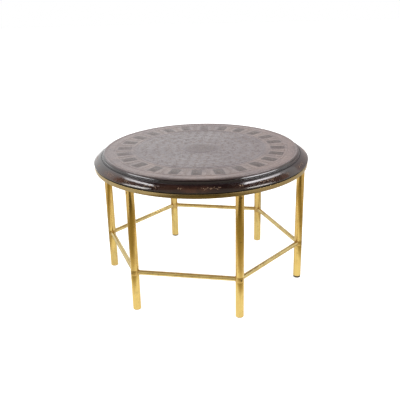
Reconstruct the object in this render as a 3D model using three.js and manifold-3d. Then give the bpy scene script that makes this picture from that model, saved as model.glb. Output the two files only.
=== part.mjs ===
// Round tray table: a lift-off lacquered tray that drops into the lipped brass ring of a six-legged stand.
// Millimetres, +Z up. The origin is on the floor, on the table's axis, and leg 1 stands on +X.
import * as THREE from "three";
import { mergeVertices } from "three/addons/utils/BufferGeometryUtils.js";
import Module from "manifold-3d";

const wasm = await Module();
wasm.setup();

// ---- Driving dimensions ----
const LEG_COUNT = 6;
const LEG_CIRCLE_R = 355; // leg axes, also the side of the stretcher hexagon
const TUBE_R = 14; // 28 mm brass tube
const TUBE_WALL = 1.5;
const ROD_R = 8; // 16 mm brass rod
const STRETCHER_Z = 140;
const RING_R = 378; // outside of the ring's lip
const RING_Z = 440; // underside of the ring's flange
const RING_T = 3; // thickness of flange and lip
const RING_LIP_H = 14;
const RING_FLANGE_W = 42;
const PANEL_R = 342.5; // edge of the tooled panel
const TOP_Z = 490; // tabletop
const RIM_R = 379; // widest line of the rim moulding
const GLIDE_DROPS = [7, 1.2, 4.5, 1.2, 1.2, 1.2]; // how far each glide stands out of its leg
const GAP = 0.3; // clearance between neighbouring pieces

// ---- Segment counts ----
const ROUND = 60; // tray and ring
const TUBE_SIDES = 16;
const ROD_SIDES = 12;
const SCREW_SIDES = 10;

// ---- Heights and radii that follow ----
const BORE_R = TUBE_R - TUBE_WALL;
const SPIGOT_R = BORE_R - GAP;
const FELT_T = 1.3;
const FLANGE_TOP = RING_Z + RING_T;
const FELT_TOP = FLANGE_TOP + GAP + FELT_T;
const TRAY_Z = FELT_TOP + GAP; // underside of the tray
const LIP_TOP = RING_Z + RING_LIP_H;
const LIP_BORE_R = RING_R - RING_T;
const PANEL_T = 3.7;
const EDGE_ROUND = 2.4;
const BOARD_TOP = TOP_Z - PANEL_T - GAP;
const BOARD_T = 15.4;
const BOARD_Z = BOARD_TOP - BOARD_T;
const BOARD_R = PANEL_R - 2;
const CORE_R = 318;
const SHOULDER_Z = BOARD_Z - GAP; // where the core board stops and the rim's rebate starts
const NOSE_Z = 459.5; // height of the rim's widest line
const NOSE_T = 2.5;
const BEAD_SEAT_Z = 475.5;
const BEAD_OUTER = 350;
const BEAD_TOP = 485.4;
const BEAD_LEDGE = 479.9; // height of the step outside the bevel
const HUB_R = TUBE_R + 0.2;
const HUB_HALF = 9;
const HUB_SPIGOT = 18;
const HUB_LOW = STRETCHER_Z - HUB_HALF;
const HUB_HIGH = STRETCHER_Z + HUB_HALF;
const LEG_SPIGOT_L = 28;
const LEG_SCREW_Z = RING_Z - 11;
const GLIDE_STEM_L = 12;
const TENON_R = 5;
const TENON_REACH = 8; // from the hub's axis to the end of a tenon
const SCREW_R = 2.2;
const SCREW_INNER = 5; // from the leg's axis to a set screw's point
const SCREW_OUTER = 13.6;
const SLOT_W = 0.9;
const SLOT_DEPTH = 1.2;

// ---- Materials ----
const finish = (color, roughness, metalness) =>
  new THREE.MeshStandardMaterial({ color, roughness, metalness });
const BRASS = finish(0xc9a04a, 0.28, 1);
const BRASS_DARK = finish(0x7a5a26, 0.45, 1);
const LACQUER = finish(0x2b1611, 0.2, 0);
const TOOLED = finish(0x4a302a, 0.35, 0);
const BOARD = finish(0xa07a50, 0.8, 0);
const FELT = finish(0x2f3a2a, 1, 0);
const RUBBER = finish(0x2a1e14, 0.9, 0);

// ---- Helpers ----

// A solid of revolution about Z. Each point is [radius, height], going up the outside.
function turned(points, sides) {
  const profile = points.map(([r, z]) => new THREE.Vector2(r, z));
  return new THREE.LatheGeometry(profile, sides).rotateX(Math.PI / 2);
}

// A closed section turned into a ring.
const turnedRing = (points, sides) => turned([...points, points[0]], sides);

// A tube about Z between two heights.
function tube(outer, bore, low, high, sides) {
  return turnedRing([[bore, low], [outer, low], [outer, high], [bore, high]], sides);
}

// A cylinder along a direction in the XY plane, from one distance to another, at a height.
function crossRod(radius, from, to, height, sides, angle = 0) {
  const rod = new THREE.CylinderGeometry(radius, radius, to - from, sides);
  rod.rotateZ(-Math.PI / 2).translate((from + to) / 2, 0, 0);
  return rod.rotateZ(angle).translate(0, 0, height);
}

// Points of an elliptical arc, angles in degrees.
function arc(cr, cz, a, b, from, to, steps) {
  return Array.from({ length: steps + 1 }, (_, i) => {
    const t = THREE.MathUtils.degToRad(from + ((to - from) * i) / steps);
    return [cr + a * Math.cos(t), cz + b * Math.sin(t)];
  });
}

function toSolid(geometry) {
  const bare = new THREE.BufferGeometry();
  const flat = geometry.index ? geometry.toNonIndexed() : geometry;
  bare.setAttribute("position", flat.getAttribute("position").clone());
  const merged = mergeVertices(bare, 1e-4);
  const vertProperties = new Float32Array(merged.attributes.position.array);
  const triVerts = new Uint32Array(merged.index.array);
  return new wasm.Manifold(new wasm.Mesh({ numProp: 3, vertProperties, triVerts }));
}

function toGeometry(solid) {
  const mesh = solid.getMesh();
  const geometry = new THREE.BufferGeometry();
  geometry.setAttribute("position", new THREE.BufferAttribute(mesh.vertProperties, 3));
  geometry.setIndex(new THREE.BufferAttribute(mesh.triVerts, 1));
  return geometry;
}

// A geometry with the given shapes cut away.
function cut(geometry, ...tools) {
  return toGeometry(tools.reduce((solid, tool) => solid.subtract(toSolid(tool)), toSolid(geometry)));
}

const table = new THREE.Group();

function place(name, geometry, material, turn = 0) {
  const mesh = new THREE.Mesh(geometry, material);
  mesh.name = name;
  mesh.rotation.z = turn;
  table.add(mesh);
}

// ---- Tray ----

// The moulding stands in the ring on a straight foot. From the bead it falls outwards in a flat swell to a
// small round nose, its widest line, and is undercut between the nose and the ring's lip.
function rimMoulding() {
  const footR = LIP_BORE_R - 1.2;
  const nose = arc(RIM_R - NOSE_T, NOSE_Z, NOSE_T, NOSE_T, -80, 0, 3);
  const hip = new THREE.Vector2(RIM_R - 0.3, NOSE_Z + 1.1);
  const shoulder = new THREE.Vector2(BEAD_OUTER + 1.8, BEAD_SEAT_Z + 1.8);
  const swell = new THREE.CubicBezierCurve(
    hip, new THREE.Vector2(371, 467.5), new THREE.Vector2(360, 475.8), shoulder,
  ).getPoints(8).map(({ x, y }) => [x, y]);
  return turnedRing([
    [CORE_R + GAP, TRAY_Z], [footR, TRAY_Z], [footR, NOSE_Z - 3], ...nose, ...swell,
    [BEAD_OUTER + 1, BEAD_SEAT_Z], [BOARD_R + GAP, BEAD_SEAT_Z], [BOARD_R + GAP, SHOULDER_Z],
    [CORE_R + GAP, SHOULDER_Z],
  ], ROUND);
}

// A bevel that falls away from the panel, with a rounded step outside it.
function rimBead() {
  const low = BEAD_SEAT_Z + GAP;
  const inner = PANEL_R + GAP;
  const corner = 2.3;
  const step = arc(BEAD_OUTER - corner, BEAD_LEDGE - corner, corner, corner, 0, 90, 3);
  return turnedRing([
    [inner, low], [BEAD_OUTER, low], ...step, [inner + 3.6, BEAD_LEDGE], [inner + 3.1, BEAD_TOP - 1.7],
    [inner, BEAD_TOP],
  ], ROUND);
}

// The panel is a shallow cap: its edge turns over the board and runs down inside the bead.
function tooledPanel() {
  const skirtLow = BEAD_SEAT_Z + GAP + 3;
  const edge = arc(PANEL_R - EDGE_ROUND, TOP_Z - EDGE_ROUND, EDGE_ROUND, EDGE_ROUND, 0, 90, 3);
  return turned([
    [0, BOARD_TOP + GAP], [BOARD_R + GAP, BOARD_TOP + GAP], [BOARD_R + GAP, skirtLow],
    [PANEL_R, skirtLow], ...edge, [0, TOP_Z],
  ], ROUND);
}

const disc = (r, low, high) => turned([[0, low], [r, low], [r, high], [0, high]], ROUND);

place("rim_moulding", rimMoulding(), LACQUER);
place("rim_bead", rimBead(), LACQUER);
place("tooled_panel", tooledPanel(), TOOLED);
place("top_board", disc(BOARD_R, BOARD_Z, BOARD_TOP), BOARD);
place("core_board", disc(CORE_R, TRAY_Z, SHOULDER_Z - GAP), BOARD);

// ---- Ring ----

// An L section: a flange that carries the tray and a lip that keeps it from sliding.
function seatRing() {
  const inner = RING_R - RING_FLANGE_W;
  return turnedRing([
    [inner, RING_Z], [RING_R, RING_Z], [RING_R, LIP_TOP], [LIP_BORE_R, LIP_TOP],
    [LIP_BORE_R, FLANGE_TOP], [inner, FLANGE_TOP],
  ], ROUND);
}

place("seat_ring", seatRing(), BRASS);
const FELT_INNER = RING_R - RING_FLANGE_W + 2;
place("seat_felt", tube(LIP_BORE_R - 2, FELT_INNER, FLANGE_TOP + GAP, FELT_TOP, ROUND), FELT);

// ---- Legs, made once on the leg's own axis and then copied round the circle ----

const HOLE_R = SCREW_R + GAP;
const screwHole = (height) => crossRod(HOLE_R, SCREW_INNER - GAP, TUBE_R + 5, height, SCREW_SIDES);

function setScrew(height) {
  const shank = crossRod(SCREW_R, SCREW_INNER, SCREW_OUTER, height, SCREW_SIDES);
  const slot = new THREE.BoxGeometry(2 * SLOT_DEPTH, 3 * SCREW_R, SLOT_W).translate(SCREW_OUTER, 0, height);
  return cut(shank, slot);
}

function legSpigot() {
  const low = RING_Z - GAP - LEG_SPIGOT_L;
  const plug = turned([[0, low], [SPIGOT_R - 1, low], [SPIGOT_R, low + 1], [SPIGOT_R, RING_Z - GAP],
    [0, RING_Z - GAP]], TUBE_SIDES);
  return cut(plug, screwHole(LEG_SCREW_Z));
}

function upperLeg() {
  return cut(tube(TUBE_R, BORE_R, HUB_HIGH + GAP, RING_Z - GAP, TUBE_SIDES), screwHole(LEG_SCREW_Z));
}

// A collar with a spigot up and down, two sockets for the stretchers' tenons and a hole for its screw.
function cornerHub() {
  const low = HUB_LOW - HUB_SPIGOT;
  const high = HUB_HIGH + HUB_SPIGOT;
  const body = turned([
    [0, low], [SPIGOT_R - 1, low], [SPIGOT_R, low + 1], [SPIGOT_R, HUB_LOW], [HUB_R, HUB_LOW],
    [HUB_R, HUB_HIGH], [SPIGOT_R, HUB_HIGH], [SPIGOT_R, high - 1], [SPIGOT_R - 1, high], [0, high],
  ], TUBE_SIDES);
  const reach = [TENON_REACH - GAP, TUBE_R + 5];
  const socket = (angle) => crossRod(TENON_R + GAP, ...reach, STRETCHER_Z, SCREW_SIDES, angle);
  const towardsNext = Math.PI / 2 + Math.PI / LEG_COUNT;
  return cut(body, socket(towardsNext), socket(-towardsNext), screwHole(STRETCHER_Z));
}

const lowerLeg = (drop) => tube(TUBE_R, BORE_R, drop + GAP, HUB_LOW - GAP, TUBE_SIDES);

// A plug whose head stands out under the tube.
function footGlide(drop) {
  const head = TUBE_R - 0.8;
  const chamfer = Math.min(1.5, drop / 2);
  const stemTop = drop + GLIDE_STEM_L;
  return turned([
    [0, 0], [head - chamfer, 0], [head, chamfer], [head, drop], [SPIGOT_R, drop],
    [SPIGOT_R, stemTop - 1], [SPIGOT_R - 1, stemTop], [0, stemTop],
  ], TUBE_SIDES);
}

// A rod whose ends are coped to the hubs, with a tenon at each end, lying between legs 1 and 2.
function stretcher() {
  const span = LEG_CIRCLE_R;
  const rod = crossRod(ROD_R, 0, span, 0, ROD_SIDES);
  const cope = () => turned([[0, -15], [HUB_R + GAP, -15], [HUB_R + GAP, 15], [0, 15]], TUBE_SIDES * 2);
  const body = toSolid(cut(rod, cope(), cope().translate(span, 0, 0)));
  const tenons = toSolid(crossRod(TENON_R, TENON_REACH, span - TENON_REACH, 0, SCREW_SIDES));
  const whole = toGeometry(body.add(tenons));
  const heading = Math.PI / 2 + Math.PI / LEG_COUNT;
  return whole.rotateZ(heading).translate(LEG_CIRCLE_R, 0, STRETCHER_Z);
}

const sharedPieces = [
  ["leg_spigot", legSpigot(), BRASS],
  ["upper_leg", upperLeg(), BRASS],
  ["leg_screw", setScrew(LEG_SCREW_Z), BRASS_DARK],
  ["corner_hub", cornerHub(), BRASS],
  ["hub_screw", setScrew(STRETCHER_Z), BRASS_DARK],
].map(([name, geometry, material]) => [name, geometry.translate(LEG_CIRCLE_R, 0, 0), material]);
sharedPieces.push(["stretcher", stretcher(), BRASS]);

GLIDE_DROPS.forEach((drop, i) => {
  const turn = (i * 2 * Math.PI) / LEG_COUNT;
  const ownPieces = [
    ["lower_leg", lowerLeg(drop).translate(LEG_CIRCLE_R, 0, 0), BRASS],
    ["foot_glide", footGlide(drop).translate(LEG_CIRCLE_R, 0, 0), RUBBER],
  ];
  for (const [name, geometry, material] of [...sharedPieces, ...ownPieces]) {
    place(`${name}_${i + 1}`, geometry, material, turn);
  }
});

export default table;
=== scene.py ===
import math

import bpy
from mathutils import Matrix, Vector, noise


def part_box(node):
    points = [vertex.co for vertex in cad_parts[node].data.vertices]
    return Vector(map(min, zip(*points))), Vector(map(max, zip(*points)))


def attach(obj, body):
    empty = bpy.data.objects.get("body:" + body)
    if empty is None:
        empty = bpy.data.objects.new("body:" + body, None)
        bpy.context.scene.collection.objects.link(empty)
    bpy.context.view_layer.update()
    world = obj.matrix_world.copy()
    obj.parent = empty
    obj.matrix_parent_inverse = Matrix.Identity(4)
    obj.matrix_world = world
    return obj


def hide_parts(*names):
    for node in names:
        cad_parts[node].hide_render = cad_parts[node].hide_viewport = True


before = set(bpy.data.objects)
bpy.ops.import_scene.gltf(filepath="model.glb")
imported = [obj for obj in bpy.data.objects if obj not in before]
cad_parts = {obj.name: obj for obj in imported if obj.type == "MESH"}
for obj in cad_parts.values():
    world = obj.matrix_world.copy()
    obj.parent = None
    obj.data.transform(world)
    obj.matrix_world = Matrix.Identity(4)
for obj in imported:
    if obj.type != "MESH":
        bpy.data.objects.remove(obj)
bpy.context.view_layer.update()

# The table's lengths are millimetres, as in the CAD, until a mesh is made.
# Materials and the studio are in metres.
MM = 0.001
LEGS = 6
LEG_CIRCLE_R = 355.0
TUBE_R, BORE_R = 14.0, 12.5
ROD_R = 8.0
HUB_R = 14.2
GAP = 0.3  # between pieces that touch
SHARP_DEG = 38  # an edge that turns more than this is drawn sharp
STUDIO_TURN = math.radians(10.56)  # of the studio's X axis, from the table's


def low_high(node):
    """A CAD node's lowest and highest z, in millimetres."""
    low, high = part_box(node)
    return low.z / MM, high.z / MM


STRETCHER_Z = sum(low_high("stretcher_1")) / 2
TOP_Z = low_high("tooled_panel")[1]
PANEL_R = 342.5
RING_Z, RING_TOP = low_high("seat_ring")
FLANGE_TOP = RING_Z + 3
TRAY_Z = low_high("rim_moulding")[0]
RIM_R, NOSE_Z, NOSE_T = 379.0, 459.5, 2.5
BEAD_INNER, BEAD_OUTER = PANEL_R + GAP, 350.0
BEAD_TOP, BEAD_LEDGE, BEAD_SEAT = 485.4, 479.9, 475.5
BEAD_STEP = 4.0  # from the bead's inside to the riser between its top and its ledge

# ---- Mesh helpers ----


class Shape:
    """Vertices and faces gathered for one mesh, and each vertex's place in the grain."""

    def __init__(self):
        self.verts, self.faces, self.lay = [], [], []

    def add(self, verts, faces, lay=None):
        start = len(self.verts)
        self.verts += [tuple(v) for v in verts]
        self.lay += [tuple(v) for v in (lay or verts)]
        self.faces += [tuple(start + i for i in f) for f in faces]

    def skin(self, rings, lays=None, loop=False):
        """Joins rings of equal length into a closed surface. loop: the last joins the first, uncapped."""
        n = len(rings[0])
        verts = [v for ring in rings for v in ring]
        lay = [v for ring in lays for v in ring] if lays else None
        faces = []
        for j in range(len(rings) if loop else len(rings) - 1):
            a, b = j * n, ((j + 1) % len(rings)) * n
            faces += [(a + i, a + (i + 1) % n, b + (i + 1) % n, b + i) for i in range(n)]
        if not loop:
            faces += [tuple(range(n))[::-1], tuple((len(rings) - 1) * n + i for i in range(n))]
        self.add(verts, faces, lay)

    def moved(self, matrix):
        """A copy moved by a matrix, with its grain unmoved."""
        other = Shape()
        other.verts = [tuple(matrix @ Vector(v)) for v in self.verts]
        other.faces, other.lay = list(self.faces), list(self.lay)
        return other


def finish_mesh(name, shape, sharp=SHARP_DEG):
    mesh = bpy.data.meshes.new(name)
    mesh.from_pydata([[c * MM for c in v] for v in shape.verts], [], shape.faces)
    grain = mesh.attributes.new("lay", "FLOAT_VECTOR", "POINT")
    grain.data.foreach_set("vector", [c * MM for v in shape.lay for c in v])
    mesh.validate()
    mesh.shade_smooth()
    mesh.set_sharp_from_angle(angle=math.radians(sharp))
    return mesh


def add_object(name, data):
    obj = bpy.data.objects.new(name, data)
    bpy.context.scene.collection.objects.link(obj)
    return obj


def piece(name, mesh, body, material, slot, node=None):
    """A visible piece that rides on a body, in place of a CAD node if one is named."""
    obj = add_object(name, mesh)
    mesh.materials.append(material)
    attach(obj, body)
    if node:
        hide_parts(node)


def shaped_piece(name, shape, *rest):
    piece(name, finish_mesh(name, shape), *rest)


def filleted(points, steps=4):
    """A closed section whose corners (r, z, radius) are rounded."""
    out = []
    for i, (r, z, radius) in enumerate(points):
        here = Vector((r, z))
        if radius <= 0:
            out.append(here)
            continue
        # A fillet takes up less than half of the side on either hand.
        sides = [Vector(points[k % len(points)][:2]) - here for k in (i - 1, i + 1)]
        a, b = (here + side.normalized() * min(radius, side.length * 0.48) for side in sides)
        for k in range(steps + 1):
            t = k / steps
            out.append(a * (1 - t) ** 2 + here * 2 * t * (1 - t) + b * t * t)
    return [(p.x, p.y) for p in out]


def circle(r, sides):
    angles = [2 * math.pi * i / sides for i in range(sides)]
    return [(r * math.cos(a), r * math.sin(a)) for a in angles]


def lathe(profile, sides, around=True, closed=True):
    """Points (r, z) turned about Z.

    around: the grain runs round the axis; otherwise it runs along it.
    closed: the points are a closed section; otherwise a flat disc closes each end of them.
    """
    shape = Shape()
    rings, lays = [], []
    for r, z in profile:
        ring = [(x, y, z) for x, y in circle(r, sides)]
        rings.append(ring)
        lays.append([(z, r, y) for _, y, _ in ring] if around else ring)
    shape.skin(rings, lays, loop=closed)
    return shape


def arc(cr, cz, radius, start, end, steps):
    """An arc of (r, z) points, from one angle in degrees to another."""
    angles = [math.radians(start + (end - start) * i / steps) for i in range(steps + 1)]
    return [(cr + radius * math.cos(t), cz + radius * math.sin(t)) for t in angles]


def round_table(k):
    return Matrix.Rotation(2 * math.pi * k / LEGS, 4, "Z")


# ---- Material helpers ----


class Nodes:
    """A short way to write a node tree."""

    def __init__(self, name):
        self.material = bpy.data.materials.new(name)
        self.material.use_nodes = True
        self.tree = self.material.node_tree
        self.shader = self.tree.nodes["Principled BSDF"]

    def node(self, kind, **settings):
        made = self.tree.nodes.new(kind)
        for key, value in settings.items():
            setattr(made, key, value)
        return made

    def link(self, a, b):
        self.tree.links.new(a, b)

    def put(self, socket, value):
        if isinstance(value, bpy.types.NodeSocket):
            self.link(value, socket)
        else:
            socket.default_value = value

    def coords(self, scale, grain=False):
        """Object coordinates, or the grain's, times a scale: one number, or one for each axis."""
        if grain:
            source = self.node("ShaderNodeAttribute", attribute_name="lay").outputs["Vector"]
        else:
            source = self.node("ShaderNodeTexCoord").outputs["Object"]
        mapping = self.node("ShaderNodeMapping")
        self.link(source, mapping.inputs["Vector"])
        mapping.inputs["Scale"].default_value = scale if hasattr(scale, "__len__") else (scale,) * 3
        return mapping.outputs["Vector"]

    def noise(self, vector, detail=4.0, roughness=0.55, distortion=0.0):
        made = self.node("ShaderNodeTexNoise")
        self.link(vector, made.inputs["Vector"])
        made.inputs["Scale"].default_value = 1.0
        made.inputs["Detail"].default_value = detail
        made.inputs["Roughness"].default_value = roughness
        made.inputs["Distortion"].default_value = distortion
        return made.outputs["Fac"]

    def cells(self, vector):
        made = self.node("ShaderNodeTexVoronoi")
        self.link(vector, made.inputs["Vector"])
        made.inputs["Scale"].default_value = 1.0
        return made.outputs["Distance"]

    def ramp(self, value, *stops):
        made = self.node("ShaderNodeValToRGB")
        self.link(value, made.inputs["Fac"])
        elements = made.color_ramp.elements
        while len(elements) < len(stops):
            elements.new(0.5)
        for element, (at, color) in zip(elements, stops):
            element.position = at
            element.color = (*color, 1)
        return made.outputs["Color"]

    def map(self, value, low, high, to_low, to_high):
        made = self.node("ShaderNodeMapRange")
        names = ("Value", "From Min", "From Max", "To Min", "To Max")
        for name, v in zip(names, (value, low, high, to_low, to_high)):
            self.put(made.inputs[name], v)
        return made.outputs["Result"]

    def math(self, operation, a, b=0.0):
        made = self.node("ShaderNodeMath", operation=operation)
        self.put(made.inputs[0], a)
        self.put(made.inputs[1], b)
        return made.outputs[0]

    def mix(self, factor, a, b):
        made = self.node("ShaderNodeMix", data_type="RGBA")
        color_a, color_b, color_out = made.inputs[6], made.inputs[7], made.outputs[2]
        self.put(made.inputs[0], factor)
        for socket, value in ((color_a, a), (color_b, b)):
            self.put(socket, (*value, 1) if isinstance(value, tuple) else value)
        return color_out

    def place(self):
        """The x, y and z of the point that is shaded, in metres from the middle of the table's foot."""
        split = self.node("ShaderNodeSeparateXYZ")
        self.link(self.node("ShaderNodeTexCoord").outputs["Object"], split.inputs[0])
        return list(split.outputs)

    def radius(self):
        """Distance from the table's axis, in metres."""
        x, y, _ = self.place()
        return self.math("SQRT", self.math("ADD", self.math("MULTIPLY", x, x), self.math("MULTIPLY", y, y)))

    def height(self):
        return self.place()[2]

    def across(self):
        """Distance to the studio's right, in metres."""
        x, y, _ = self.place()
        x_share, y_share = math.cos(STUDIO_TURN), math.sin(STUDIO_TURN)
        return self.math("ADD", self.math("MULTIPLY", x, x_share), self.math("MULTIPLY", y, y_share))

    def bump(self, height, strength, distance):
        """distance is in metres."""
        made = self.node("ShaderNodeBump")
        made.inputs["Strength"].default_value = strength
        made.inputs["Distance"].default_value = distance
        self.link(height, made.inputs["Height"])
        self.link(made.outputs["Normal"], self.shader.inputs["Normal"])

    def set(self, **values):
        for name, value in values.items():
            socket = self.shader.inputs[name.replace("_", " ")]
            if isinstance(value, tuple):
                value = (*value, 1)
            self.put(socket, value)
        return self.material


def brass(name, light, deep, patina, rough, bloom=0.35):
    """Brass, light near the floor and deep above, the deep colour above being painted shade under the tray,
    with drawing lines, tarnish and a bloom by the hubs.
    """
    n = Nodes(name)
    lines = n.noise(n.coords((700, 700, 6), grain=True), detail=3)
    clouds = n.noise(n.coords(14), detail=5, roughness=0.6)
    spots = n.noise(n.coords(110), detail=4, roughness=0.7)
    smears = n.noise(n.coords((30, 30, 12)), detail=5, roughness=0.65)
    z = n.height()
    # Painted shade: the colour turns towards the deep one from 0.10 to 0.30 m up, under the tray.
    color = n.mix(n.map(z, 0.10, 0.30, 0.0, 0.6), light, deep)
    color = n.mix(n.map(clouds, 0.42, 0.72, 0.0, 0.6), color, deep)
    color = n.mix(n.map(smears, 0.50, 0.70, 0.0, 0.40), color, patina)
    color = n.mix(n.map(spots, 0.60, 0.74, 0.0, 0.60), color, patina)
    from_hub = n.math("ABSOLUTE", n.math("SUBTRACT", z, STRETCHER_Z * MM))
    color = n.mix(n.map(from_hub, 0.004, 0.014, bloom, 0.0), color, patina)
    color = n.mix(n.map(lines, 0.45, 0.70, 0.0, 0.16), color, patina)
    drawn = n.map(lines, 0.3, 0.7, rough - 0.03, rough + 0.03)
    gloss = n.math("ADD", drawn, n.map(clouds, 0.4, 0.7, 0.0, 0.06))
    n.bump(n.math("ADD", lines, n.math("MULTIPLY", clouds, 2.0)), 0.06, 0.00003)
    return n.set(Base_Color=color, Metallic=1.0, Roughness=gloss)


def lacquer():
    """Nearly black gloss lacquer, red-brown where it is worn thin, and blackest by the bead, at the riser
    and under the nose, where shade is painted into its colour.
    """
    n = Nodes("lacquered_wood_gloss")
    clouds = n.noise(n.coords(7), detail=5, roughness=0.62)
    grain = n.noise(n.coords((60, 700, 5), grain=True), detail=4, roughness=0.6, distortion=0.4)
    rubbed = n.noise(n.coords(55), detail=6, roughness=0.7)
    color = n.ramp(clouds, (0.34, (0.010, 0.004, 0.003)), (0.52, (0.024, 0.010, 0.006)),
                   (0.70, (0.070, 0.026, 0.014)))
    color = n.mix(n.map(grain, 0.45, 0.7, 0.0, 0.35), color, (0.010, 0.005, 0.004))
    color = n.mix(n.map(rubbed, 0.60, 0.76, 0.0, 0.5), color, (0.10, 0.052, 0.034))
    radius = n.radius()
    # Painted shade: near black on the swell by the bead, on the bead's riser and below the nose.
    from_riser = n.math("ABSOLUTE", n.math("SUBTRACT", radius, (BEAD_INNER + BEAD_STEP) * MM))
    by_bead = n.map(radius, (BEAD_OUTER + 2) * MM, (BEAD_OUTER + 17) * MM, 0.95, 0.0)
    at_riser = n.map(from_riser, 0.3 * MM, 0.9 * MM, 0.95, 0.0)
    below_nose = n.map(n.height(), (NOSE_Z - 0.3) * MM, (NOSE_Z + NOSE_T) * MM, 0.9, 0.0)
    painted_shade = n.math("MAXIMUM", n.math("MAXIMUM", by_bead, at_riser), below_nose)
    color = n.mix(painted_shade, color, (0.006, 0.0025, 0.004))
    gloss = n.math("ADD", n.map(rubbed, 0.45, 0.75, 0.10, 0.24), n.map(clouds, 0.4, 0.7, 0.0, 0.05))
    n.bump(n.math("ADD", n.math("MULTIPLY", grain, 0.5), rubbed), 0.12, 0.0002)
    return n.set(Base_Color=color, Roughness=gloss, IOR=1.48, Coat_Weight=0.4, Coat_Roughness=0.06,
                 Coat_IOR=1.5)


def leather(name, zones, fade, coat=0.55):
    """Tooled, dyed and varnished leather. zones: (radius in mm, colour) from the middle out."""
    n = Nodes(name)
    reach = 350
    share = n.math("DIVIDE", n.radius(), reach * MM)
    base = n.ramp(share, *[(radius / reach, color) for radius, color in zones])
    clouds = n.noise(n.coords(14), detail=6, roughness=0.62)
    blotches = n.noise(n.coords(6), detail=4, roughness=0.6)
    stains = n.noise(n.coords(26), detail=5, roughness=0.7, distortion=0.8)
    fine = n.noise(n.coords(150), detail=4, roughness=0.65)
    cells = n.cells(n.coords(2600))
    color = n.mix(n.map(clouds, 0.40, 0.70, 0.0, 0.6), base, fade)
    color = n.mix(n.map(blotches, 0.42, 0.64, 0.0, 0.6), color, (0.082, 0.055, 0.060))
    color = n.mix(n.map(stains, 0.52, 0.66, 0.0, 0.5), color, (0.066, 0.042, 0.045))
    color = n.mix(n.map(fine, 0.50, 0.72, 0.0, 0.55), color, (0.055, 0.034, 0.034))
    color = n.mix(n.map(cells, 0.0, 0.35, 0.35, 0.0), color, (0.045, 0.026, 0.024))
    gloss = n.map(fine, 0.35, 0.7, 0.30, 0.46)
    n.bump(n.math("ADD", n.math("MULTIPLY", cells, 0.5), fine), 0.22, 0.00018)
    return n.set(Base_Color=color, Roughness=gloss, Coat_Weight=coat, Coat_Roughness=0.16, Coat_IOR=1.5)


def gilding(name, gold, worn, amount):
    """Gold leaf rubbed down to the ground under it."""
    n = Nodes(name)
    rub = n.noise(n.coords(130), detail=6, roughness=0.7)
    patches = n.noise(n.coords(11), detail=3)
    wear = n.math("ADD", n.map(rub, 0.40, 0.62, 0.0, 1.0), n.map(patches, 0.40, 0.65, -0.3, 0.5))
    wear = n.map(wear, 0.2, 1.1, 0.0, amount)
    color = n.mix(wear, gold, worn)
    n.bump(rub, 0.3, 0.0001)
    metal = n.map(wear, 0.0, 1.0, 0.40, 0.0)
    gloss = n.map(rub, 0.3, 0.7, 0.40, 0.55)
    return n.set(Base_Color=color, Metallic=metal, Roughness=gloss, Coat_Weight=0.15, Coat_Roughness=0.2)


def plywood():
    """Bare plywood, its grain along X."""
    n = Nodes("plywood_bare")
    grain = n.noise(n.coords((6, 120, 120)), detail=6, roughness=0.65, distortion=0.6)
    pores = n.noise(n.coords((50, 1400, 1400)), detail=2)
    color = n.ramp(grain, (0.30, (0.34, 0.23, 0.13)), (0.52, (0.46, 0.33, 0.20)),
                   (0.72, (0.56, 0.43, 0.28)))
    color = n.mix(n.map(pores, 0.55, 0.75, 0.0, 0.7), color, (0.22, 0.14, 0.075))
    n.bump(n.math("ADD", grain, pores), 0.3, 0.0003)
    return n.set(Base_Color=color, Roughness=n.map(grain, 0.3, 0.7, 0.6, 0.8))


def felt():
    n = Nodes("felt_green")
    fuzz = n.noise(n.coords(1800), detail=4, roughness=0.8)
    matting = n.noise(n.coords(90), detail=4)
    color = n.ramp(matting, (0.35, (0.012, 0.020, 0.012)), (0.65, (0.026, 0.040, 0.022)))
    color = n.mix(n.map(fuzz, 0.5, 0.8, 0.0, 0.5), color, (0.07, 0.09, 0.06))
    n.bump(fuzz, 0.6, 0.0004)
    return n.set(Base_Color=color, Roughness=n.map(fuzz, 0.3, 0.7, 0.9, 1.0), Sheen_Weight=0.3)


def rubber():
    n = Nodes("rubber_dark")
    dust = n.noise(n.coords(240), detail=5, roughness=0.7)
    color = n.ramp(dust, (0.35, (0.012, 0.009, 0.006)), (0.60, (0.028, 0.020, 0.012)),
                   (0.80, (0.09, 0.07, 0.045)))
    n.bump(dust, 0.4, 0.0002)
    return n.set(Base_Color=color, Roughness=n.map(dust, 0.3, 0.7, 0.55, 0.8))


BRASS = brass("brass_polished", (0.72, 0.54, 0.20), (0.63, 0.41, 0.13), (0.26, 0.14, 0.05), 0.15)
ROD_BRASS = brass("brass_rod", (0.70, 0.57, 0.27), (0.64, 0.49, 0.20), (0.26, 0.16, 0.06), 0.18, 0.0)
RING_BRASS = brass("brass_ring_dull", (0.50, 0.39, 0.20), (0.40, 0.30, 0.14), (0.18, 0.12, 0.05), 0.20)
BRAZE = brass("brass_brazed", (0.62, 0.38, 0.12), (0.52, 0.30, 0.09), (0.22, 0.10, 0.03), 0.28)
DARK_BRASS = brass("brass_aged", (0.13, 0.08, 0.035), (0.10, 0.06, 0.028), (0.03, 0.018, 0.01), 0.42)
LACQUER = lacquer()
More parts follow.
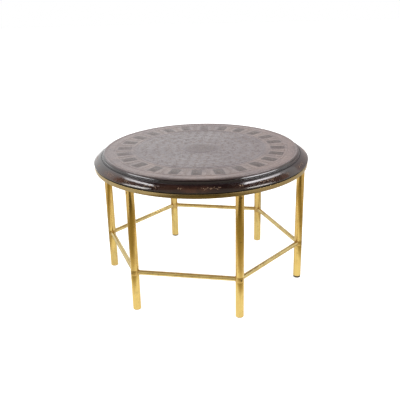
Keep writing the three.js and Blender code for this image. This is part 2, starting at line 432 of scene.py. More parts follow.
# The leather's last zone, near black from 340.3 mm out, is painted shade on the panel's rounded edge and
# skirt.
LEATHER = leather(
    "leather_panel",
    [(0, (0.100, 0.074, 0.078)), (60, (0.108, 0.083, 0.088)), (110, (0.138, 0.117, 0.122)),
     (226, (0.142, 0.117, 0.119)), (240, (0.185, 0.134, 0.116)), (300, (0.182, 0.128, 0.110)),
     (337.5, (0.165, 0.110, 0.097)), (340.3, (0.030, 0.014, 0.011))],
    (0.110, 0.084, 0.090))
CARTOUCHE = leather(
    "leather_cartouche", [(240, (0.036, 0.023, 0.023)), (300, (0.038, 0.022, 0.019))],
    (0.062, 0.041, 0.036), 0.32)
MEDALLION = leather(
    "leather_medallion",
    [(0, (0.036, 0.018, 0.020)), (28, (0.050, 0.028, 0.031)), (46, (0.082, 0.060, 0.064)),
     (62, (0.104, 0.080, 0.085))],
    (0.112, 0.080, 0.084), 0.5)
TOOLING = gilding("tooling_worn_gilt", (0.19, 0.15, 0.125), (0.095, 0.070, 0.066), 0.95)
GILT = gilding("gilt_sprig", (0.20, 0.125, 0.075), (0.040, 0.018, 0.012), 0.95)
PLYWOOD, FELT, RUBBER = plywood(), felt(), rubber()

# ---- Relief drawn as raised lines ----


def ribbon(shape, path, widths, height, place, closed=False):
    """A raised line with a ridge, along (u, v) points. place(u, v, lift) puts a point on the surface."""
    sunk = -0.06
    n = len(path)
    if not hasattr(widths, "__len__"):
        widths = [widths] * n
    verts = []
    for i, (u, v) in enumerate(path):
        if closed:
            (u0, v0), (u1, v1) = path[i - 1], path[(i + 1) % n]
        else:
            (u0, v0), (u1, v1) = path[max(i - 1, 0)], path[min(i + 1, n - 1)]
        du, dv = u1 - u0, v1 - v0
        size = math.hypot(du, dv) or 1.0
        w = widths[i] / 2
        nu, nv = -dv / size * w, du / size * w
        lift = height * min(1.0, widths[i] / 1.2)
        verts += [place(u + nu, v + nv, sunk), place(u, v, lift), place(u - nu, v - nv, sunk)]
    faces = []
    for i in range(n if closed else n - 1):
        a, b = 3 * i, 3 * ((i + 1) % n)
        faces += [(a, b, b + 1, a + 1), (a + 1, b + 1, b + 2, a + 2), (a + 2, b + 2, b, a)]
    if not closed:
        faces += [(0, 1, 2), (3 * n - 1, 3 * n - 2, 3 * n - 3)]
    shape.add(verts, faces)


def leaf(shape, u, v, heading, length, width, height, place, bend=0.0, steps=7):
    """A pointed leaf with a midrib, from its stalk at (u, v)."""
    path, widths, at = [], [], heading
    for k in range(steps + 1):
        t = k / steps
        path.append((u, v))
        widths.append(max(0.12, width * math.sin(math.pi * min(1.0, t ** 0.75)) ** 0.9))
        at = heading + bend * t
        u, v = u + math.cos(at) * length / steps, v + math.sin(at) * length / steps
    ribbon(shape, path, widths, height, place)


def spiral(u, v, start, turns, outer, inner, steps):
    path = []
    for k in range(steps + 1):
        t = k / steps
        radius = outer + (inner - outer) * t ** 0.85
        a = start + turns * 2 * math.pi * t
        path.append((u + radius * math.cos(a), v + radius * math.sin(a)))
    return path


def rosette(shape, u, v, petals, inner, outer, width, height, place, turn=0.0):
    for k in range(petals):
        a = turn + 2 * math.pi * k / petals
        stalk = u + inner * math.cos(a), v + inner * math.sin(a)
        leaf(shape, *stalk, a, outer - inner, width, height, place, steps=5)


# ---- Tray ----

FIELD_Z = TOP_Z - 0.45  # ground of the tooled panel
PLATE_T = 0.2  # cartouches and medallion stand this far above the ground
LINE_H = 0.38
PLATE_LINE_H = 0.19
RING_LINES = (  # radius and width of the panel's raised lines
    (334.6, 1.5), (331.6, 0.8), (307.5, 0.9), (304.6, 1.6),
    (239.4, 1.6), (236.2, 0.9), (226.6, 0.9), (223.4, 1.6))
RINCEAUX = ((201, 20), (159, 16), (118, 12), (82, 8))  # radius and number of waves
CARTOUCHES = 24
CARTOUCHE_STEP = math.radians(360 / CARTOUCHES)
CARTOUCHE_R, CARTOUCHE_W, CARTOUCHE_L = 272.0, 33.0, 50.0
CARTOUCHE_LINE_SCALE = 0.9
MEDALLION_R, MEDALLION_LOBES, LOBE_H = 60.0, 24, 3.6
MEDALLION_LINE_SCALE = 0.735
LATHE_SIDES = 288
DISC_END_R = 3.0  # a flat disc ends in a polygon of this radius
BOARD_R, CORE_R, CORE_TOP = PANEL_R - 2.0, 318.0, 470.0


def on_field(x, y, lift):
    return (x, y, FIELD_Z + lift)


def on_plate(x, y, lift):
    return (x, y, FIELD_Z + PLATE_T + lift)


def on_medallion(x, y, lift):
    return on_plate(MEDALLION_LINE_SCALE * x, MEDALLION_LINE_SCALE * y, lift)


def disc(outline, sides, around=True):
    """A solid turned from an outline that runs from its flat underside to its flat top."""
    under, top = (DISC_END_R, outline[0][1]), (DISC_END_R, outline[-1][1])
    return lathe([under, *outline, top], sides, around, closed=False)


def panel():
    """The leather with its turned-down edge, and the raised lines round it."""
    board_r, under, skirt, edge_r = PANEL_R - 1.7, TOP_Z - 3.7, 478.8, 2.4
    lines = []
    for radius, width in RING_LINES:
        for offset, lift in ((0.5, 0), (0.22, LINE_H), (-0.22, LINE_H), (-0.5, 0)):
            lines.append((radius + offset * width, FIELD_Z + lift))
    edge = arc(PANEL_R - edge_r, TOP_Z - edge_r, edge_r, 0, 90, 10)
    return disc([(board_r - 0.4, under), (board_r, under - 0.4), (board_r, skirt), (PANEL_R - 0.3, skirt),
                 (PANEL_R, skirt + 0.3), *edge, (338.6, TOP_Z), (338.0, FIELD_Z), *lines], LATHE_SIDES)


def board(radius, low, high, chamfer_low, chamfer_high=0.6):
    return disc([(radius - chamfer_low, low), (radius, low + chamfer_low), (radius, high - chamfer_high),
                 (radius - chamfer_high, high)], 192, around=False)


def rounded_rectangle(half_l, half_w, corner):
    points = []
    for (sx, sy), start in (((1, 1), 0), ((-1, 1), 90), ((-1, -1), 180), ((1, -1), 270)):
        for step in range(4):
            a = math.radians(start + 30 * step)
            points.append((sx * (half_l - corner) + corner * math.cos(a),
                           sy * (half_w - corner) + corner * math.sin(a)))
    return points


def plates():
    """One rounded rectangular plate for each cartouche, its long side along the radius."""
    corner, foot = 3.0, -0.15
    bevel = [(0, foot), (0, 0.05), (0.5, PLATE_T)]
    groove = [(3.2, PLATE_T), (3.6, 0.12), (5.0, 0.12), (5.4, PLATE_T)]
    shape = Shape()
    for k in range(CARTOUCHES):
        turn = Matrix.Rotation(CARTOUCHE_STEP * (k + 0.5), 4, "Z")
        rings = []
        for inset, lift in bevel + groove:
            outline = rounded_rectangle(CARTOUCHE_L / 2 - inset, CARTOUCHE_W / 2 - inset,
                                        max(0.6, corner - inset))
            rings.append([turn @ Vector((CARTOUCHE_R + x, y, FIELD_Z + lift)) for x, y in outline])
        shape.skin(rings)
    return shape


def medallion():
    """A scalloped plate in the middle."""
    sides = 240
    rings = []
    for inset, lift in ((0, -0.15), (0, 0.05), (0.5, PLATE_T), (22, PLATE_T), (45, PLATE_T)):
        ring = []
        for i in range(sides):
            a = 2 * math.pi * i / sides
            r = MEDALLION_R + LOBE_H * abs(math.sin(MEDALLION_LOBES / 2 * a)) - inset
            ring.append((r * math.cos(a), r * math.sin(a), FIELD_Z + lift))
        rings.append(ring)
    shape = Shape()
    shape.skin(rings)
    return shape


def rinceau(shape, r0, waves):
    """A running scroll: a wave round the panel, a volute in each hollow and three leaves on each crest."""
    reach, line_w, tip_w = 9.5, 1.5, 0.8
    steps = 2 * waves * 10
    wave = []
    for i in range(steps):
        a = 2 * math.pi * i / steps
        r = r0 + reach * math.sin(waves * a)
        wave.append((r * math.cos(a), r * math.sin(a)))
    ribbon(shape, wave, line_w, LINE_H, on_field, closed=True)
    volute_steps, volute_in = 26, 5.5
    taper = [line_w + (tip_w - line_w) * i / volute_steps for i in range(volute_steps + 1)]
    for k in range(2 * waves):
        a = (k + 0.5) * math.pi / waves
        out = 1 if k % 2 == 0 else -1
        centre = r0 - out * volute_in
        u, v = centre * math.cos(a), centre * math.sin(a)
        facing = a if out > 0 else a + math.pi
        path = spiral(u, v, facing - out * 0.5, -out * 1.35, 12.0, 1.8, volute_steps)
        ribbon(shape, path, taper, LINE_H, on_field)
        rosette(shape, u, v, 5, 0.4, 3.4, 1.5, LINE_H, on_field, a)
        crest = r0 + out * (reach + 1.2)
        x, y = crest * math.cos(a), crest * math.sin(a)
        for lean in (-0.95, 0.0, 0.95):
            length = 7.5 if lean else 8.8
            leaf(shape, x, y, facing + lean, length, 2.9, LINE_H, on_field, bend=lean * 0.6)


def palmette(shape, a):
    """The upright spray between two cartouches."""
    turn = Matrix.Rotation(a, 2)

    def at(r, across):
        return turn @ Vector((r, across))

    ribbon(shape, [at(r, 0) for r in range(246, 291, 4)], 1.1, LINE_H, on_field)
    for r, spread, length in ((252, 1.0, 10.5), (263, 0.95, 9.5), (274, 0.85, 8.5), (284, 0.7, 7.5)):
        for side in (-1, 1):
            leaf(shape, *at(r, 0), a + side * spread, length, 3.0, LINE_H, on_field, bend=side * 0.9)
    leaf(shape, *at(290, 0), a, 9.5, 3.8, LINE_H, on_field)
    for side in (-1, 1):
        curl = spiral(*at(296.5, side * 7.2), a + math.pi, side * 1.1, 4.6, 1.2, 14)
        ribbon(shape, curl, 0.9, LINE_H, on_field)


def lozenge(half_l, half_w, steps):
    """An ellipse with its shoulders flattened."""
    points = []
    for i in range(steps):
        c, s = math.cos(2 * math.pi * i / steps), math.sin(2 * math.pi * i / steps)
        points.append((half_l * c * abs(c) ** 0.25, half_w * s * abs(s) ** 0.25))
    return points


def cartouche_lines(shape, a):
    turn = Matrix.Rotation(a, 2)

    def place(x, y, lift):
        p = turn @ Vector((CARTOUCHE_LINE_SCALE * x + CARTOUCHE_R, CARTOUCHE_LINE_SCALE * y))
        return on_plate(p.x, p.y, lift)

    half_l, half_w = 20.6, 11.6
    corners = [(half_l, half_w), (-half_l, half_w), (-half_l, -half_w), (half_l, -half_w)]
    frame_line = []
    for i, (x0, y0) in enumerate(corners):
        x1, y1 = corners[(i + 1) % 4]
        frame_line += [(x0 + (x1 - x0) * t, y0 + (y1 - y0) * t) for t in (0.06, 0.5, 0.94)]
    ribbon(shape, frame_line, 1.2, PLATE_LINE_H, place, closed=True)
    ribbon(shape, lozenge(15, 8.4, 28), 1.1, PLATE_LINE_H, place, closed=True)
    rosette(shape, 0, 0, 8, 0.6, 6.4, 2.3, PLATE_LINE_H, place)
    for sx in (-1, 1):
        leaf(shape, sx * 8.0, 0, 0 if sx > 0 else math.pi, 5.5, 2.6, PLATE_LINE_H, place, steps=5)
        for sy in (-1, 1):
            curl = spiral(sx * 16.4, sy * 8.2, math.atan2(-sy, -sx), sx * sy * 0.9, 2.9, 0.8, 10)
            ribbon(shape, curl, 0.8, PLATE_LINE_H, place)


def medallion_lines(shape):
    """Pointed petals outside, three rings, ogee petals inside and a rosette in the middle."""
    petals = 16
    for k in range(petals):
        a = 2 * math.pi * k / petals
        for side in (-1, 1):
            path = []
            for i in range(9):
                t = i / 8
                r = 46 + 32 * t
                w = side * math.pi / petals * (1 - t ** 2.2) * 0.94
                path.append((r * math.cos(a + w), r * math.sin(a + w)))
            ribbon(shape, path, 1.3, PLATE_LINE_H, on_medallion)
        leaf(shape, 50 * math.cos(a), 50 * math.sin(a), a, 20, 6.0, PLATE_LINE_H, on_medallion)
    for r, width in ((44.5, 1.4), (41.8, 0.9), (9.5, 1.3)):
        ribbon(shape, circle(r, 72), width, PLATE_LINE_H, on_medallion, closed=True)
    ogees = 8
    for k in range(ogees):
        a = 2 * math.pi * (k + 0.5) / ogees
        for side in (-1, 1):
            path = []
            for i in range(13):
                t = i / 12
                r = 11 + 27 * t
                w = side * 0.36 * math.sin(math.pi * t ** 0.8)
                path.append((r * math.cos(a + w), r * math.sin(a + w)))
            ribbon(shape, path, 1.2, PLATE_LINE_H, on_medallion)
        between = a + math.pi / ogees
        for heading, r, length, width in ((a, 14, 17, 4.6), (between, 27, 12, 3.4)):
            stalk = r * math.cos(heading), r * math.sin(heading)
            leaf(shape, *stalk, heading, length, width, PLATE_LINE_H, on_medallion)
    rosette(shape, 0, 0, 8, 1.5, 8.0, 3.2, PLATE_LINE_H, on_medallion)


def tooling():
    shape = Shape()
    for r0, waves in RINCEAUX:
        rinceau(shape, r0, waves)
    for k in range(CARTOUCHES):
        palmette(shape, CARTOUCHE_STEP * k)
        cartouche_lines(shape, CARTOUCHE_STEP * (k + 0.5))
    medallion_lines(shape)
    return shape


SWELL = [Vector(p) for p in ((RIM_R - 0.3, NOSE_Z + 1.1), (371, 467.5), (360, 475.8),
                             (BEAD_OUTER + 1.8, BEAD_SEAT + 1.8))]


def swell_point(t):
    """A point (r, z) of the rim's swell, t from 0 at its widest line to 1 at the bead."""
    a, b, c, d = SWELL
    return a * (1 - t) ** 3 + b * 3 * t * (1 - t) ** 2 + c * 3 * t * t * (1 - t) + d * t ** 3


def rim_moulding():
    hollow, foot, groove, rebate, shoulder = CORE_R + GAP, 373.8, BEAD_OUTER + 1, PANEL_R - 1.7, 470.3
    nose = [(*point, 0) for point in arc(RIM_R - NOSE_T, NOSE_Z, NOSE_T, -80, 24, 20)]
    swell = [(*swell_point(i / 40), 0) for i in range(1, 41)]
    return lathe(filleted([
        (hollow, TRAY_Z, 0.5), (foot, TRAY_Z, 1.0), (foot, NOSE_Z - 3, 0.3), *nose, *swell,
        (groove, BEAD_SEAT, 0.3), (rebate, BEAD_SEAT, 0.3), (rebate, shoulder, 0.2), (hollow, shoulder, 0.3)
    ]), LATHE_SIDES)


def rim_bead():
    low, riser, lean = BEAD_SEAT + GAP, BEAD_INNER + BEAD_STEP, 0.2
    return lathe(filleted([
        (BEAD_INNER, low, 0.2), (BEAD_OUTER, low, 0.2), (BEAD_OUTER, BEAD_LEDGE, 2.3),
        (riser + lean, BEAD_LEDGE, 0.4), (riser - lean, BEAD_TOP - 2.1, 0.4), (BEAD_INNER, BEAD_TOP, 0.15)
    ]), LATHE_SIDES)


def sprigs():
    """Twelve gilt sprigs round the swell of the rim, with a small spray between each two."""
    shape = Shape()
    middle_r, middle_t, swell_length = 374, 0.42, 34.0
    line_h, leaf_h, spray_h = 0.18, 0.22, 0.2
    count = 24
    for k in range(count):
        middle = 2 * math.pi * k / count

        def place(u, v, lift):
            a = middle + u / middle_r
            t = middle_t + v / swell_length
            here, ahead = swell_point(t), swell_point(t + 0.01)
            along = (ahead - here).normalized()
            r, z = here.x + along.y * lift, here.y - along.x * lift
            return (r * math.cos(a), r * math.sin(a), z)

        if k % 2 == 0:
            for side in (-1, 1):
                for lean in (0.0, 0.75, -0.75):
                    heading, bend = (lean if side > 0 else math.pi - lean), side * lean * 0.6
                    leaf(shape, side * 1.2, 0, heading, 6.8, 2.2, spray_h, place, bend, steps=5)
            continue
        rosette(shape, 0, 0, 6, 0.7, 4.2, 2.2, leaf_h, place, 0.3)
        for side in (-1, 1):
            shares = [i / 16 for i in range(17)]
            stem = [(side * (4.5 + 22 * t), 2.6 * math.sin(2.6 * math.pi * t)) for t in shares]
            ribbon(shape, stem, [0.9 - 0.5 * t for t in shares], line_h, place)
            for i, lean in ((3, 0.9), (5, -0.9), (8, 0.8), (10, -0.8), (13, 0.7)):
                heading, bend = (lean if side > 0 else math.pi - lean), -side * lean * 0.5
                leaf(shape, *stem[i], heading, 5.4, 2.4, leaf_h, place, bend, steps=5)
            leaf(shape, *stem[-1], 0 if side > 0 else math.pi, 5.6, 2.4, leaf_h, place, steps=5)
    return shape


for name, shape, material, slot, *node in (
        ("tray_rim", rim_moulding(), LACQUER, "lacquered_wood", "rim_moulding"),
        ("tray_bead", rim_bead(), LACQUER, "lacquered_wood", "rim_bead"),
        ("tray_sprigs", sprigs(), GILT, "lacquered_wood"),
        ("tray_panel", panel(), LEATHER, "tooled_leather", "tooled_panel"),
        ("tray_cartouches", plates(), CARTOUCHE, "tooled_leather"),
        ("tray_medallion", medallion(), MEDALLION, "tooled_leather"),
        ("tray_tooling", tooling(), TOOLING, "tooled_leather"),
        ("tray_top_board", board(BOARD_R, 470.6, 486.0, 0.6), PLYWOOD, "plywood", "top_board"),
        ("tray_core_board", board(CORE_R, TRAY_Z, CORE_TOP, 0.8), PLYWOOD, "plywood", "core_board")):
    shaped_piece(name, shape, "tray", material, slot, *node)

# ---- Ring ----

FLANGE_INNER, LIP_INNER, LIP_OUTER = 336, 375, 378


def seat_ring():
    section = [(FLANGE_INNER, RING_Z, 0.7), (LIP_OUTER, RING_Z, 0.9), (LIP_OUTER, RING_TOP, 0.6),
               (LIP_INNER, RING_TOP, 0.6), (LIP_INNER, FLANGE_TOP, 0.8), (FLANGE_INNER, FLANGE_TOP, 0.6)]
    return lathe(filleted(section), LATHE_SIDES)


def felt_pad():
    """A flat pad whose edges are cut a little unevenly."""
    low, high = FLANGE_TOP + GAP, FLANGE_TOP + 1.55
    inner, outer = FLANGE_INNER + 2, LIP_INNER - 2
    section = [(inner, low, 0.2), (outer, low, 0.2), (outer, high, 0.4), (inner, high, 0.4)]
    shape = lathe(filleted(section), LATHE_SIDES)
    for i, (x, y, z) in enumerate(shape.verts):
        r = math.hypot(x, y)
        waver = 0.35 * noise.noise((30 * x / r, 30 * y / r, r * 0.1))
        shape.verts[i] = (x * (r + waver) / r, y * (r + waver) / r, z)
    return shape


shaped_piece("stand_ring", seat_ring(), "stand", RING_BRASS, "brass", "seat_ring")
shaped_piece("stand_felt", felt_pad(), "stand", FELT, "felt", "seat_felt")

# ---- Legs: each shape is made once at leg 1 and turned to the others ----

LOWER_HIGH = low_high("lower_leg_1")[1]
UPPER_LOW, UPPER_HIGH = low_high("upper_leg_1")
HUB_LOW, HUB_HIGH = LOWER_HIGH + GAP, UPPER_LOW - GAP
HUB_END_LOW, HUB_END_HIGH = low_high("corner_hub_1")
LEG_SCREW_Z = sum(low_high("leg_screw_1")) / 2
SCREW_R, SCREW_HOLE_R = 2.2, 2.5
SCREW_INNER, SCREW_OUTER = 5.0, 13.6
LEG_SIDES = 72
TO_LEG = Matrix.Translation((LEG_CIRCLE_R, 0, 0))


def bar_shape(radius, start, end, z, dome=0.0):
    """A short bar along X, measured from the leg's axis, with a domed end if dome is its height."""
    sides, bevel = 32, 0.25
    stops = [(start, radius * 0.9), (start + 0.3, radius), (end - bevel - dome, radius),
             (end - dome, radius - bevel)]
    if dome:
        stops += [(end - dome * 0.45, radius * 0.62), (end, radius * 0.2)]
    shape = Shape()
    shape.skin([[(x, y, z + up) for y, up in circle(r, sides)] for x, r in stops])
    return shape


def block_shape(x0, x1, y0, y1, z0, z1):
    shape = Shape()
    shape.skin([[(x, y0, z0), (x, y1, z0), (x, y1, z1), (x, y0, z1)] for x in (x0, x1)])
    return shape


def carved(name, shape, tool, sharp=SHARP_DEG):
    """A mesh of the shape with the tool cut away."""
    target = add_object(name, finish_mesh(name, shape, sharp))
    cutter = add_object(name + "_cutter", finish_mesh(name + "_cutter", tool))
    modifier = target.modifiers.new("cut", "BOOLEAN")
    modifier.operation, modifier.solver, modifier.object = "DIFFERENCE", "EXACT", cutter
    graph = bpy.context.evaluated_depsgraph_get()
    mesh = bpy.data.meshes.new_from_object(target.evaluated_get(graph))
    for obj in (target, cutter):
        bpy.data.objects.remove(obj)
    mesh.materials.clear()
    mesh.shade_smooth()
    mesh.set_sharp_from_angle(angle=math.radians(sharp))
    return mesh


def tube_shape(low, high):
    section = [(BORE_R, low, 0.2), (TUBE_R, low, 0.45), (TUBE_R, high, 0.45), (BORE_R, high, 0.2)]
    return lathe(filleted(section, 3), LEG_SIDES, around=False)


def hub_shape():
    spigot, bore = BORE_R - GAP, 5.0
    section = [(bore, HUB_END_LOW, 0.2), (spigot, HUB_END_LOW, 1.0), (spigot, HUB_LOW, 0),
               (HUB_R, HUB_LOW, 0.5), (HUB_R, HUB_HIGH, 0.5), (spigot, HUB_HIGH, 0),
               (spigot, HUB_END_HIGH, 1.0), (bore, HUB_END_HIGH, 0.2)]
    return lathe(filleted(section, 3), LEG_SIDES)


# From a frame with X along stretcher 1, starting on leg 1's axis, to the table's frame.
TO_ROD = Matrix.Translation((LEG_CIRCLE_R, 0, STRETCHER_Z)) @ Matrix.Rotation(math.radians(120), 4, "Z")


def stretcher_shape():
    """A rod whose ends follow the hubs. In a hexagon, neighbouring legs are one radius apart."""
    hub = HUB_R + 0.1
    rings, lays = [], []
    for part in (0.0, 0.05, 0.2, 0.4, 0.6, 0.8, 0.95, 1.0):
        ring = []
        for y, z in circle(ROD_R, 48):
            start = math.sqrt(hub * hub - y * y)
            ring.append((start + (LEG_CIRCLE_R - 2 * start) * part, y, z))
        rings.append(ring)
        lays.append([(y, z, x) for x, y, z in ring])
    shape = Shape()
    shape.skin(rings, lays)
    return shape.moved(TO_ROD)


def braze_shape(seed, far):
    """The uneven fillet of brazing where a stretcher meets a hub."""
    sides, hub = 40, HUB_R - 0.05
    # Distance from the hub and height over the rod.
    profile = [(-0.1, -0.15), (-0.1, 1.2), (0.4, 0.8), (0.9, 0.45), (1.6, 0.22), (2.4, 0.05), (2.4, -0.15)]
    rings = []
    for out, thick in profile:
        ring = []
        for i in range(sides):
            a = 2 * math.pi * i / sides
            lump = 1.0 + 0.55 * noise.noise((1.7 * math.cos(a) + 9 * seed, 1.7 * math.sin(a), out * 0.6))
            rho = ROD_R + (thick * lump if thick > 0 else thick)
            y, z = rho * math.cos(a), rho * math.sin(a)
            x = math.sqrt(hub * hub - y * y) + out * (lump if out > 1 else 1)
            ring.append((LEG_CIRCLE_R - x if far else x, y, z))
        rings.append(ring)
    shape = Shape()
    shape.skin(rings, loop=True)
    return shape.moved(TO_ROD)


def lower_tube_shape(i):
    return tube_shape(low_high(f"lower_leg_{i}")[0], LOWER_HIGH)


def glide_shape(i):
    low, high = low_high(f"foot_glide_{i}")
    seat = low_high(f"lower_leg_{i}")[0] - GAP
    head, stem = TUBE_R - 0.8, BORE_R - GAP
    return lathe([(6.5, low + 0.5), (7.6, low), (head - 1.5, low), (head - 0.44, low + 0.44),
                  (head, low + min(1.5, seat * 0.6)), (head, seat - 0.3), (head - 0.3, seat), (stem, seat),
                  (stem, high - 1), (stem - 1, high)], 64, around=False, closed=False)


def screw_hole(z):
    return bar_shape(SCREW_HOLE_R, SCREW_INNER - GAP, TUBE_R + 4, z).moved(TO_LEG)


def screw_mesh(z):
    shank = bar_shape(SCREW_R, SCREW_INNER, SCREW_OUTER, z, dome=0.35).moved(TO_LEG)
    slot = block_shape(SCREW_OUTER - 1.4, SCREW_OUTER + 2, -4, 4, z - 0.45, z + 0.45).moved(TO_LEG)
    return carved("screw", shank, slot, sharp=30)


def leg_mesh(name, shape):
    return finish_mesh(name, shape.moved(TO_LEG))


upper_mesh = carved("upper", tube_shape(UPPER_LOW, UPPER_HIGH).moved(TO_LEG), screw_hole(LEG_SCREW_Z))
hub_mesh = carved("hub", hub_shape().moved(TO_LEG), screw_hole(STRETCHER_Z))
leg_screw_mesh, hub_screw_mesh = screw_mesh(LEG_SCREW_Z), screw_mesh(STRETCHER_Z)
rod_mesh = finish_mesh("rod", stretcher_shape())

for k in range(LEGS):
    i = k + 1
    for name, mesh, material, slot, node in (
            ("leg_upper", upper_mesh, BRASS, "brass", "upper_leg"),
            ("leg_lower", leg_mesh("lower", lower_tube_shape(i)), BRASS, "brass", "lower_leg"),
            ("hub", hub_mesh, BRASS, "brass", "corner_hub"),
            ("rod", rod_mesh, ROD_BRASS, "brass", "stretcher"),
            ("leg_screw", leg_screw_mesh, DARK_BRASS, "aged_brass", "leg_screw"),
            ("hub_screw", hub_screw_mesh, DARK_BRASS, "aged_brass", "hub_screw"),
            ("glide", leg_mesh("glide", glide_shape(i)), RUBBER, "rubber", "foot_glide")):
        turned_mesh = mesh.copy()
        turned_mesh.transform(round_table(k))
        piece(f"stand_{name}_{i}", turned_mesh, "stand", material, slot, f"{node}_{i}")
    for far, letter in ((False, "a"), (True, "b")):
        braze = braze_shape(2 * k + far, far).moved(round_table(k))
        shaped_piece(f"stand_braze_{i}{letter}", braze, "stand", BRAZE, "brass")
    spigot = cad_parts[f"leg_spigot_{i}"]
    spigot.data.materials.clear()
    spigot.data.materials.append(BRASS)

# ---- Studio: its Y points away from the camera, turned from the table's frame ----

STUDIO = Matrix.Rotation(STUDIO_TURN, 3, "Z")
FLOOR_HALF = 9
CARD_Z, CEILING_Z, STRIP_Z = 0.002, 3.0, 2.9


def studio(x, y, z):
    return STUDIO @ Vector((x, y, z))


def stage_material(name, color, glow):
    n = Nodes(name)
    tint = n.noise(n.coords(1.3), detail=3)
    shade = n.mix(n.map(tint, 0.3, 0.7, 0.0, 1.0), color, tuple(c * 0.97 for c in color))
    return n.set(Base_Color=shade, Roughness=0.9, Emission_Color=(1.0, 1.0, 1.0), Emission_Strength=glow)


def glow_material(name, measure, *stops):
    """A glow whose colour follows one of the Nodes measures, in metres."""
    n = Nodes(name)
    reach = stops[-1][0]
    share = n.math("DIVIDE", getattr(n, measure)(), reach)
    glow = n.node("ShaderNodeEmission")
    n.link(n.ramp(share, *[(at / reach, color) for at, color in stops]), glow.inputs["Color"])
    n.link(glow.outputs[0], n.tree.nodes["Material Output"].inputs["Surface"])
    n.tree.nodes.remove(n.shader)
    return n.material


def card(name, corners, material):
    mesh = bpy.data.meshes.new(name)
    mesh.from_pydata([studio(*c) for c in corners], [], [(0, 1, 2, 3)])
    mesh.materials.append(material)
    obj = add_object(name, mesh)
    return obj


def level(x0, x1, y0, y1, z=CARD_Z):
    """The corners of a level rectangle."""
    return [(x0, y0, z), (x1, y0, z), (x1, y1, z), (x0, y1, z)]


def overhead(*corners):
    return [(x, y, STRIP_Z) for x, y in corners]


def even(color):
    """A glow of one colour."""
    return "height", (0.0, color), (1.0, color)


card("floor", level(-FLOOR_HALF, FLOOR_HALF, -FLOOR_HALF, FLOOR_HALF, 0),
     stage_material("floor_pale", (0.5, 0.5, 0.5), 0.8))

# Cards that only reflections see: corners on the studio's axes, what the glow follows, and its colours.
CARDS = {
    "dim_floor": (
        level(-1.0, 1.0, -3.4, -0.08), "radius",
        (0.48, (1.20, 1.16, 1.02)), (0.60, (0.74, 0.66, 0.46)), (0.72, (0.50, 0.42, 0.21)),
        (0.94, (0.37, 0.31, 0.14)), (1.17, (0.36, 0.29, 0.125)), (1.42, (0.30, 0.24, 0.10)),
        (1.54, (0.15, 0.12, 0.05)), (2.0, (0.12, 0.10, 0.05))),
    # The dimmer ring from 0.58 to 0.76 m is painted floor shade round the table, seen only in reflections.
    "under_floor": (
        level(-1.0, 1.0, -0.08, 0.8), "radius",
        (0.0, (1.0, 0.98, 0.92)), (0.46, (1.0, 0.98, 0.92)), (0.58, (0.58, 0.55, 0.48)),
        (0.76, (0.58, 0.55, 0.48)), (0.95, (0.92, 0.90, 0.84)), (1.3, (1.0, 1.0, 0.97))),
    "left_floor": (level(-3.5, -1.0, -3.4, 1.2), *even((0.95, 0.91, 0.84))),
    "right_floor": (level(1.0, 3.5, -3.4, 1.2), *even((0.70, 0.64, 0.53))),
    "dim_wall": (
        [(-3.5, -3.4, 0), (3.5, -3.4, 0), (3.5, -3.2, CEILING_Z), (-3.5, -3.2, CEILING_Z)], "height",
        (0.0, (0.35, 0.30, 0.20)), (0.8, (0.75, 0.68, 0.56)), (3.0, (0.75, 0.70, 0.62))),
    "front_ceiling": (
        level(-3.5, 3.5, -3.4, -0.5, CEILING_Z), "radius",
        (0.5, (0.34, 0.29, 0.23)), (3.4, (0.75, 0.70, 0.62))),
    "dark_ceiling": (
        level(-3.5, 3.5, -0.5, 1.8, CEILING_Z), "radius",
        (0.0, (0.030, 0.027, 0.028)), (2.0, (0.050, 0.040, 0.036)), (3.4, (0.34, 0.27, 0.23))),
    "far_floor": (level(1.0, 6.0, 1.2, 5.0), *even((0.72, 0.58, 0.54))),
    "back_wall": (
        [(0.0, 5.0, 0.0), (6.0, 5.0, 0.0), (6.0, 5.0, 4.0), (0.0, 5.0, 4.0)], "across",
        (0.0, (1.0, 1.0, 1.0)), (0.7, (0.78, 0.75, 0.75)), (1.8, (0.56, 0.51, 0.51)),
        (6.0, (0.56, 0.49, 0.48))),
    "strip_left": (
        overhead((-1.19, 0.43), (-1.76, 2.00), (-2.13, 1.32), (-1.34, 0.02)), "radius",
        (1.2, (11.0, 10.8, 11.0)), (2.6, (5.0, 4.9, 5.0))),
    "strip_right": (
        overhead((0.95, 0.61), (1.83, 2.16), (2.21, 1.50), (1.11, 0.05)), "radius",
        (1.2, (12.0, 11.6, 12.0)), (2.6, (5.0, 4.9, 5.0))),
    "hip_left": (
        overhead((-1.55, -0.31), (-2.62, 0.60), (-3.20, 0.85), (-1.97, -0.32)), *even((11.0, 10.6, 10.3))),
    "hip_right": (
        overhead((1.38, -0.52), (2.30, 0.22), (2.92, 0.38), (1.75, -0.57)), *even((11.0, 10.6, 10.3))),
}
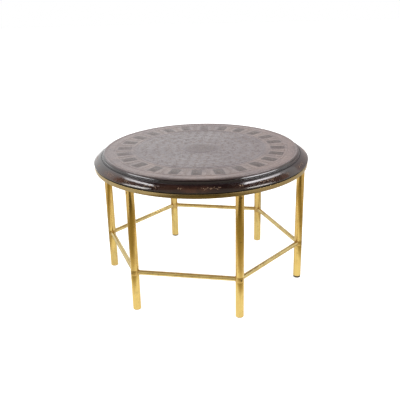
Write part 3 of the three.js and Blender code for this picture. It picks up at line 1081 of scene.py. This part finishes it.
for name, (corners, *glow) in CARDS.items():
    made = card(name, corners, glow_material(name + "_glow", *glow))
    for ray in ("camera", "diffuse", "transmission", "volume_scatter", "shadow"):
        setattr(made, "visible_" + ray, False)


def softbox(name, at, size, power):
    """A soft light aimed at the tray, its length running away from the camera."""
    data = bpy.data.lights.new(name, "AREA")
    data.shape, data.size, data.size_y, data.energy = "RECTANGLE", *size, power
    obj = add_object(name, data)
    obj.location = studio(*at)
    z = (obj.location - Vector((0, 0, 0.45))).normalized()
    x = studio(0, 1, 0).cross(z).normalized()
    obj.rotation_euler = Matrix((x, z.cross(x), z)).transposed().to_euler()
    obj.visible_camera = obj.visible_glossy = False


softbox("softbox_left", (-1.55, 0.05, 2.3), (0.42, 1.5), 24)
softbox("softbox_right", (1.45, -0.10, 2.4), (0.42, 1.5), 24)

world = bpy.data.worlds.new("studio")
world.use_nodes = True
background = world.node_tree.nodes["Background"]
background.inputs["Color"].default_value = (1, 1, 1, 1)
background.inputs["Strength"].default_value = 1.0
bpy.context.scene.world = world

# ---- Camera ----

FOCAL_MM = 56.56
CAMERA_AT = (0.0, -2.1538, 1.1315)
LOOK_AT = (0.0, 0.0, 0.19525)
YAW, PITCH, ROLL = -0.003, 0.0374, 0.0219


def turn_pair(a, b, angle):
    """Two axes at right angles, turned in their plane."""
    c, s = math.cos(angle), math.sin(angle)
    return c * a - s * b, s * a + c * b


def camera():
    at = studio(*CAMERA_AT)
    forward = (studio(*LOOK_AT) - at).normalized()
    right = forward.cross(Vector((0, 0, 1))).normalized()
    up = right.cross(forward)
    right, forward = turn_pair(right, forward, YAW)
    up, forward = turn_pair(up, forward, PITCH)
    right, up = turn_pair(right, up, ROLL)
    data = bpy.data.cameras.new("camera")
    data.sensor_width, data.lens, data.clip_end = 36, FOCAL_MM, 60
    obj = add_object("camera", data)
    obj.matrix_world = Matrix.Translation(at) @ Matrix((right, up, -forward)).transposed().to_4x4()
    bpy.context.scene.camera = obj


camera()
bpy.context.scene.view_settings.view_transform = "Standard"
